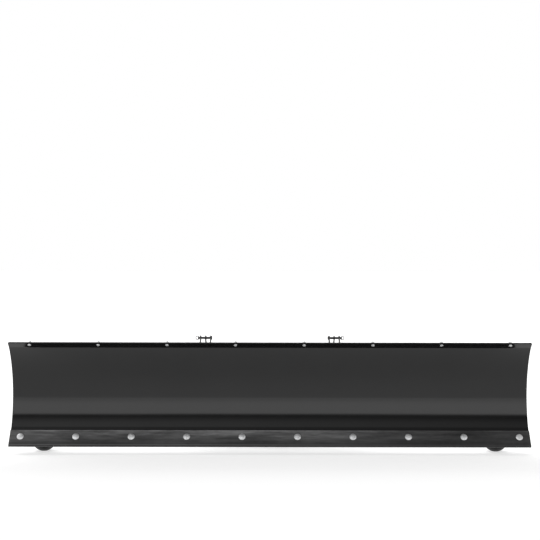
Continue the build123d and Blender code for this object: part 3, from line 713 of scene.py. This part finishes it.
def spring_path():
    """The wire from one hook's open end, through the coils, to the other's."""
    up = Vector((0, 0, 1))
    first, last = coil_point(LEAD), coil_point(COILS - LEAD)
    start, end = Vector((0, TOP_LOOP_RADIUS, 0)), Vector((0, SPRING_R, LOW_LOOP))
    path = []
    for i in range(HOOK_STEPS):
        turn = math.radians(TOP_HOOK[0] + (TOP_HOOK[1] - TOP_HOOK[0]) * i / HOOK_STEPS)
        path.append(Vector((0, math.sin(turn), -math.cos(turn))) * TOP_LOOP_RADIUS)
    path += bezier(start, start + up * TOP_REACH, first - coil_heading(LEAD) * TOP_PULL, first, 16)[:-1]
    steps = COIL_STEPS * COILS
    path += [coil_point(LEAD + (COILS - 2 * LEAD) * i / steps) for i in range(steps + 1)]
    path += bezier(last, last + coil_heading(COILS - LEAD) * LOW_REACH, end - up * LOW_REACH, end, 8)[1:]
    for i in range(1, HOOK_STEPS + 1):
        turn = math.radians(LOW_HOOK[0] + (LOW_HOOK[1] - LOW_HOOK[0]) * i / HOOK_STEPS)
        path.append(Vector((0, SPRING_R * math.cos(turn), LOW_LOOP + SPRING_R * math.sin(turn))))
    return path


def mirrored(side, shapes):
    """Shapes drawn on the right, or their mirror images on the left."""
    if side > 0:
        return shapes
    return [placed(shape, Matrix.Scale(-1, 4, (1, 0, 0))) for shape in shapes]


def circle(radius, steps=48):
    """Points round Z, the first of them on X."""
    turns = [2 * math.pi * i / steps for i in range(steps)]
    return [Vector((radius * math.cos(t), radius * math.sin(t), 0)) for t in turns]


def make_spring(name, side):
    """A coil spring and its hooks in one wire, drawn between its two ends' bodies; it rides neither and does
    not stretch.
    """
    place = side_frame(EAR_X, SPRING_TOP, SPRING_DOWN)
    wire = placed(tube(spring_path(), SPRING_WIRE / 2, 10), place)
    made = make_object(name + "_coil_spring", mirrored(side, [wire]))
    finish_mesh(made, 0.0, 40.0)
    nodes = [name + "_trip_spring", name + "_spring_hook"]
    settle(made, SLOT_OF[nodes[0]], None, nodes)
    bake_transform(made)


def make_eyebolt(name, side):
    place = side_frame(EAR_X, SPRING_FOOT, SPRING_DOWN)
    eye = [Vector((p.x, 0, p.y)) for p in circle(EYE_RADIUS)]
    root = [(0, 11), (4.6, 13), (4.2, 17), (EYE_SHANK, 20), (EYE_SHANK, EYE_PLAIN), (0, EYE_PLAIN)]
    shapes = [tube(eye, EYE_WIRE / 2, 16, closed=True), lathe(root, 32)]
    shapes.append(thread(EYE_SHANK, EYE_PITCH, EYE_PLAIN, EYE_REACH))
    shapes = mirrored(side, [placed(shape, place) for shape in shapes])
    piece(name + "_eyebolt_steel", shapes, name + "_eyebolt")


def make_eyebolt_nuts():
    place = side_frame(EAR_X, SPRING_FOOT, SPRING_DOWN)
    nut = hex_nut(EYE_NUT_BORE, EYE_NUT_FLATS, EYE_NUT_HEIGHT)
    shapes = []
    for i in range(2):
        lift = Matrix.Translation((0, 0, EYE_NUT_BACK + i * (EYE_NUT_HEIGHT + EYE_NUT_GAP)))
        shapes.append(placed(nut, place @ lift @ Matrix.Rotation(EYE_NUT_START + EYE_NUT_TURN * i, 4, "Z")))
    piece("eyebolt_nuts_fine", shapes + mirrored(-1, shapes), "eyebolt_nuts", angle=25)


# ---------------------------------------------------------------- skid shoes
SHOE = Vector((807.5, 102.0, 0.0))
SHOE_LOW, DISH_RADIUS, DISH_HEIGHT, DISH_WALL, DISH_FLAT = -27.0, 43.0, 22.0, 5.0, 12.0
DISH_EASE = 0.02  # radians left out at each corner of the bowl
HUB_RADIUS, HUB_TOP, STEM_RADIUS, STEM_TOP = 17.0, 6.0, 12.5, 117.0
SLEEVE_OUT, SLEEVE_IN, SLEEVE_LOW, SLEEVE_HIGH = 17.0, 13.0, 28.0, 93.0
WASHER_RADIUS, WASHER_THICK, WASHER_GAP, WASHER_EASE = 21.0, 4.0, 0.03, 0.35
CLIP_WIRE, CLIP_GAP, CLIP_STEPS = 4.0, 0.2, 12
SHOE_CLIP_HEIGHT = 103.2
PIVOT, PIVOT_PIN, PIVOT_CLIP_X = Vector((118.0, 112.0)), 16.0, 254.5
RING_X, RING_RADIUS, RING_WIRE = 258.5, 6.0, 2.4
BUSH_IN, BUSH_OUT, BUSH_EASE = 12.75, 20.0, 0.8
BUSH_HEIGHTS = {"upper_king_bush": (132.0, 162.0), "lower_king_bush": (62.0, 92.0)}


def eased_ring(inner, outer, low, high, soft=0.5):
    """A ring's outline with eased corners, ending where it starts."""
    outline = [(inner + soft, low), (outer - soft, low), (outer, low + soft), (outer, high - soft)]
    outline += [(outer - soft, high), (inner + soft, high), (inner, high - soft), (inner, low + soft)]
    return outline + outline[:1]


def dish_profile():
    """The pressed bowl, from the middle of its underside over the rim to the middle of its inside."""
    centre = SHOE_LOW + math.sqrt(DISH_RADIUS**2 - DISH_FLAT**2)
    top = SHOE_LOW + DISH_HEIGHT

    def bowl(radius, first, last, steps):
        turns = [first + (last - first) * i / steps for i in range(steps + 1)]
        return [(radius * math.sin(t), centre - radius * math.cos(t)) for t in turns]

    rim = math.acos((centre - top) / DISH_RADIUS)
    inner_rim = math.acos((centre - top) / (DISH_RADIUS - DISH_WALL))
    flat = math.asin(DISH_FLAT / DISH_RADIUS)
    outer = bowl(DISH_RADIUS, flat + DISH_EASE, rim - DISH_EASE, 18)
    inner = bowl(DISH_RADIUS - DISH_WALL, inner_rim - DISH_EASE, 0.0, 16)
    over = [(outer[-1][0] - 0.4, top), (inner[0][0] + 0.5, top)]
    return [(0, SHOE_LOW), (DISH_FLAT - 1, SHOE_LOW)] + outer + over + inner[:-1] + [(0, inner[-1][1])]


def stem_profile():
    sink = SHOE_LOW + DISH_WALL
    hub = [(0, sink), (HUB_RADIUS, sink), (HUB_RADIUS, HUB_TOP - 1), (HUB_RADIUS - 1, HUB_TOP)]
    rod = [(STEM_RADIUS, HUB_TOP), (STEM_RADIUS, STEM_TOP - 2), (STEM_RADIUS - 2, STEM_TOP), (0, STEM_TOP)]
    return hub + rod


def hairpin(pin, place):
    """A clip in its XY plane: one leg through a pin, one sprung over it, its tip flared."""
    wire = CLIP_WIRE
    apart = pin / 2 + wire / 2 + CLIP_GAP
    back = -pin / 2 - 1.5 * wire
    tip = pin * 0.35
    path = [Vector((pin / 2 + 2 * wire, 0, 0)), Vector((pin / 2 + wire, 0, 0)), Vector((0, 0, 0))]
    for i in range(CLIP_STEPS + 1):
        turn = -math.pi / 2 - math.pi * i / CLIP_STEPS
        path.append(Vector((back + apart / 2 * math.cos(turn), apart / 2 + apart / 2 * math.sin(turn), 0)))
    a, b = Vector((tip, apart, 0)), Vector((tip + 2 * wire, apart + wire, 0))
    path += bezier(a, a + Vector((wire, 0, 0)), b - Vector((wire * 0.7, wire * 0.7, 0)), b, 8)
    return placed(tube(path, wire / 2), place)


def make_shoe(name, side):
    at = Matrix.Translation(SHOE)

    def turned(title, node, profiles, sides=72):
        shapes = [placed(lathe(profile, sides), at) for profile in profiles]
        piece(name + title, mirrored(side, shapes), name + node)

    def washers(count, low):
        floors = [low + i * WASHER_THICK + WASHER_GAP for i in range(count)]
        thick = WASHER_THICK - 2 * WASHER_GAP
        return [eased_ring(SLEEVE_IN, WASHER_RADIUS, z, z + thick, WASHER_EASE) for z in floors]

    turned("_shoe_dish", "_shoe_foot", [dish_profile()], 96)
    turned("_shoe_post", "_shoe_stem", [stem_profile()])
    turned("_shoe_guide", "_shoe_sleeve", [eased_ring(SLEEVE_IN, SLEEVE_OUT, SLEEVE_LOW, SLEEVE_HIGH)])
    turned("_spacers", "_lower_washers", washers(3, HUB_TOP + 0.2))
    turned("_top_spacers", "_upper_washers", washers(2, SLEEVE_HIGH))
    clip = hairpin(2 * STEM_RADIUS, Matrix.Translation(SHOE + Vector((0, 0, SHOE_CLIP_HEIGHT))))
    piece(name + "_shoe_hairpin", mirrored(side, [clip]), name + "_shoe_clip")


def make_pin_clips(name, side):
    turn = Matrix(((0, 0, 1), (0, 1, 0), (-1, 0, 0))).to_4x4()
    clip = hairpin(PIVOT_PIN, Matrix.Translation((PIVOT_CLIP_X, PIVOT.x, PIVOT.y)) @ turn)
    piece(name + "_pivot_hairpin", mirrored(side, [clip]), name + "_pivot_clip")
    loop = [Vector((RING_X + p.x, SPRING_TOP.x, SPRING_TOP.y + p.y)) for p in circle(RING_RADIUS)]
    ring = tube(loop, RING_WIRE / 2, 12, closed=True)
    piece(name + "_pin_ring", mirrored(side, [ring]), name + "_spring_pin_ring")


def make_bushes():
    at = Matrix.Translation((0, KING_Y, 0))
    for node, heights in BUSH_HEIGHTS.items():
        bush = lathe(eased_ring(BUSH_IN, BUSH_OUT, *heights, BUSH_EASE), 96)
        piece(node.replace("king", "turned"), [placed(bush, at)], node)


for side_name, side_sign in SIDES.items():
    make_spring(side_name, side_sign)
    make_eyebolt(side_name, side_sign)
    make_shoe(side_name, side_sign)
    make_pin_clips(side_name, side_sign)
make_eyebolt_nuts()
make_bushes()

# ---------------------------------------------------------------- weld beads
SIGNS = -1, 1
RIB_BEAD, EAR_BEAD, TUBE_BEAD, STRAP_BEAD, BAR_BEAD, KING_BEAD = 4.2, 4.6, 4.0, 3.4, 4.5, 4.2
RIB_X = [0.0, 430.0, -430.0, 640.0, -640.0, 906.0, -906.0]
EAR_PLATE_X = [side * (EAR_X + s * 18.0) for side in SIGNS for s in SIGNS]
RIB_STITCHES, EAR_STITCHES = ((-23, -11), (-3, 9), (18, 29)), ((-22, -8), (0, 13), (20, 30))  # degrees
PLATE_HALF, STITCH_STEPS = 2.5, 14
TUBE_EDGES = 30.9, 37.1  # degrees round the roll
TUBE_STITCHES, TUBE_STITCH_SPAN, TUBE_STITCH_HALF = 12, 1650.0, 22.0
SHEET_RADIUS = ROLL_RADIUS + SHEET
STRAP_X, STRAP_Y, STRAP_LOW, STRAP_HIGH = 17.2, -8.6, 37.0, 85.0  # X and Y from the shoe's middle
BAR_FRONT, BAR_BACK, BAR_HIGH, BAR_LOW = 150.0, 190.0, 132.0, 92.0
UPPER_SEAM_HALF, LOWER_SEAM_HALF = 100, 70
KING_HEIGHTS, KING_RADIUS = (142.4, 81.6), 20.6


def roll_beads(x, spans, size):
    """Stitches along both sides of a plate that stands on the back of the roll, by angle."""
    beads = []
    for span in spans:
        low, high = (math.radians(angle) for angle in span)
        curve = arc(ROLL_CENTRE, SHEET_RADIUS + size * 0.25, low, high, STITCH_STEPS)
        for s in SIGNS:
            beads.append(weld([(x + s * (PLATE_HALF + size * 0.2), p.x, p.y) for p in curve], size))
    return beads


def make_blade_welds():
    beads = []
    for x in RIB_X:
        beads += roll_beads(x, RIB_STITCHES, RIB_BEAD)
    for x in EAR_PLATE_X:
        beads += roll_beads(x, EAR_STITCHES, EAR_BEAD)
    for middle in even(TUBE_STITCHES, TUBE_STITCH_SPAN):
        for angle in TUBE_EDGES:
            y, z = ROLL_CENTRE + radial(math.radians(angle)) * (SHEET_RADIUS + 1.0)
            beads.append(weld([(middle + s * TUBE_STITCH_HALF, y, z) for s in SIGNS], TUBE_BEAD))
    for side in SIGNS:
        for s in SIGNS:
            for out in SIGNS:
                x = side * SHOE.x + s * STRAP_X + out * 1.2
                y = SHOE.y + STRAP_Y + out * s * 1.3
                beads.append(weld([(x, y, STRAP_LOW), (x, y, STRAP_HIGH)], STRAP_BEAD))
    piece("blade_weld_beads", beads, slot="blade_paint", body="blade", angle=80)


def make_frame_welds():
    beads = []
    for half, z in ((UPPER_SEAM_HALF, BAR_HIGH - 1.2), (LOWER_SEAM_HALF, BAR_LOW + 1.2)):
        beads.append(weld([(s * half, BAR_BACK - 0.8, z) for s in SIGNS], BAR_BEAD))
    for z in KING_HEIGHTS:
        ring = [Vector((0, KING_Y, z)) + p for p in circle(KING_RADIUS, 60)]
        beads.append(weld(ring + ring[:1], KING_BEAD))
    for side in SIGNS:
        for s in SIGNS:
            inside, outside = side * EAR_X + s * 13.2, side * EAR_X + s * 20.7
            ends = BAR_LOW + 6, BAR_HIGH - 6
            beads.append(weld([(inside, BAR_FRONT - 0.6, z) for z in ends], BAR_BEAD))
            ends = BAR_FRONT + 6, BAR_BACK - 6
            beads.append(weld([(outside, y, BAR_HIGH + 0.3) for y in ends], BAR_BEAD))
            ends = BAR_HIGH - 2, BAR_HIGH - 9
            beads.append(weld([(outside, BAR_BACK + 0.4, z) for z in ends], KING_BEAD))
    piece("frame_weld_beads", beads, slot="frame_paint", body="trip_frame", angle=80)


make_blade_welds()
make_frame_welds()

# ---------------------------------------------------------------- cut and folded steel, from the CAD
BEVELS = {
    "bottom_angle": 0.9, "lip_bar": 0.5, "top_tube": 0.25, "centre_rib": 0.6, "sleeve_straps": 0.5,
    "crossbar": 0.3, "crossbar_caps": 0.7, "pivot_lugs": 0.8, "stop_pads": 0.3,
    "upper_swivel_plate": 0.8, "lower_swivel_plate": 0.8,
}
SIDE_BEVELS = {
    "inner_rib": 0.6, "outer_rib": 0.6, "end_rib": 0.6, "inner_ear": 0.6, "outer_ear": 0.6,
    "pivot_boss": 0.5, "spring_bracket": 0.6, "pivot_pin": 0.3, "spring_pin": 0.2,
}
for side_name in SIDES:
    BEVELS.update({f"{side_name}_{title}": bevel for title, bevel in SIDE_BEVELS.items()})
for node, bevel in BEVELS.items():
    refined(node, bevel)

# ---------------------------------------------------------------- studio
FLOOR_HALF, FLOOR_DROP = 300.0, 0.0005  # m
FLOOR_ALBEDO = 0.63
# The floor gives off light of its own: more of it beyond the camera, where only the blade mirrors it, and
# more from the blade backwards, so that the blade's shadow stays pale.
FLOOR_GLOW, FLOOR_FAR_GLOW, FLOOR_NEAR_GLOW = 0.35, 0.74, 0.27
FAR_FLOOR, NEAR_FLOOR = (-5.6, -4.3), (-0.55, -0.10)  # m along Y, over which the glow changes
# Degrees above the horizon, and the light from there.
FRONT_LIGHT = (
    (-3, 1.25), (0, 1.45), (4.4, 1.72), (7.4, 1.84), (20.8, 1.84), (23.4, 0.20), (26.5, 0.24), (30, 0.42),
    (34, 0.60), (41, 0.66), (52, 0.50), (64, 0.33), (74, 0.40), (82, 1.6), (90, 2.0),
)
BACK_LIGHT = ((0, 1.0), (25, 1.2), (50, 1.6), (90, 2.0))
FRONT_TO_BACK = -0.25, 0.15  # the direction's Y where one gives way to the other
RAMP_TOP = 2.5
# Above this many degrees the light is stronger on the left than on the right.
LEAN_FROM = (24.0, 28.0)
LEAN_ACROSS, OVERHEAD_LEAN = (-0.6, 0.6), (1.55, 0.45)
BACKDROP = 1.0
CAMERA_DISTANCE, CAMERA_HEIGHT, CAMERA_SIDE = 3997.5, 620.2, -0.1
LENS = 76.3
CAMERA_ROLL = -0.0016


def make_floor():
    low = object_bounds()[0][2] - FLOOR_DROP
    mesh = bpy.data.meshes.new("floor")
    corners = [(-1, -1), (1, -1), (1, 1), (-1, 1)]
    mesh.from_pydata([(x * FLOOR_HALF, y * FLOOR_HALF, low) for x, y in corners], [], [(0, 1, 2, 3)])
    floor = bpy.data.objects.new("floor", mesh)
    bpy.context.scene.collection.objects.link(floor)
    made, tree, shader, coords = start_material("pale_floor", ior=1.5)
    shader.inputs["Base Color"].default_value = (*grey(FLOOR_ALBEDO), 1)
    shader.inputs["Roughness"].default_value = 0.9
    shader.inputs["Specular IOR Level"].default_value = 0.0
    shader.inputs["Emission Color"].default_value = (1, 1, 1, 1)
    along = axes(tree, coords)["Y"]
    far = spread(tree, along, *FAR_FLOOR, FLOOR_FAR_GLOW, FLOOR_GLOW, smooth=True)
    near = spread(tree, along, *NEAR_FLOOR, 0.0, FLOOR_NEAR_GLOW, smooth=True)
    links(tree, (maths(tree, "ADD", far, near), shader.inputs["Emission Strength"]))
    mesh.materials.append(made)


def scale_node(tree, vector):
    """A node that scales the vector, by a number or by what is linked to its Scale."""
    node = tree.nodes.new("ShaderNodeVectorMath")
    node.operation = "SCALE"
    links(tree, (vector, node.inputs[0]))
    return node


def gradient(tree, climb, stops):
    """A ramp over the angle above the horizon. Its colours stay below 1, and are scaled up after it."""
    ramp = tree.nodes.new("ShaderNodeValToRGB")
    elements = ramp.color_ramp.elements
    for i, (degrees, light) in enumerate(stops):
        place = degrees / 180 + 0.5
        element = elements[i] if i < len(elements) else elements.new(place)
        element.position = place
        element.color = (*grey(light / RAMP_TOP), 1)
    links(tree, (spread(tree, climb, -math.pi / 2, math.pi / 2), ramp.inputs["Fac"]))
    scaled = scale_node(tree, ramp.outputs["Color"])
    scaled.inputs["Scale"].default_value = RAMP_TOP
    return scaled.outputs["Vector"]


def make_world():
    """A studio by height above the horizon: a wide low softbox in front, a soft ceiling behind."""
    world = bpy.data.worlds.new("studio")
    bpy.context.scene.world = world
    world.use_nodes = True
    tree = world.node_tree
    tree.nodes.clear()
    direction = axes(tree, tree.nodes.new("ShaderNodeTexCoord").outputs["Generated"])
    climb = maths(tree, "ARCSINE", direction["Z"])
    front, back = gradient(tree, climb, FRONT_LIGHT), gradient(tree, climb, BACK_LIGHT)
    behind = spread(tree, direction["Y"], *FRONT_TO_BACK, smooth=True)
    studio = scale_node(tree, blend_colour(tree, behind, front, back))
    lean = spread(tree, direction["X"], *LEAN_ACROSS, *OVERHEAD_LEAN, smooth=True)
    overhead = spread(tree, climb, *(math.radians(angle) for angle in LEAN_FROM), smooth=True)
    strength = tree.nodes.new("ShaderNodeMix")
    strength.inputs["A"].default_value = 1.0
    links(tree, (overhead, strength.inputs["Factor"]), (lean, strength.inputs["B"]))
    links(tree, (strength.outputs["Result"], studio.inputs["Scale"]))
    seen = tree.nodes.new("ShaderNodeLightPath").outputs["Is Camera Ray"]
    backdrop = blend_colour(tree, seen, studio.outputs["Vector"], grey(BACKDROP))
    light = tree.nodes.new("ShaderNodeBackground")
    out = tree.nodes.new("ShaderNodeOutputWorld")
    links(tree, (backdrop, light.inputs["Color"]), (light.outputs[0], out.inputs["Surface"]))


def make_camera():
    """Level, far off and square to the blade, turned a little about its own axis."""
    camera = bpy.data.cameras.new("camera")
    camera.lens = LENS
    camera.clip_end = 2000
    obj = bpy.data.objects.new("camera", camera)
    obj.location = TO_ROW @ Vector((CAMERA_SIDE, -CAMERA_DISTANCE, CAMERA_HEIGHT))
    obj.rotation_euler = (math.pi / 2, CAMERA_ROLL, 0)
    bpy.context.scene.collection.objects.link(obj)
    bpy.context.scene.camera = obj


make_floor()
make_world()
make_camera()
bpy.context.scene.view_settings.view_transform = "Standard"
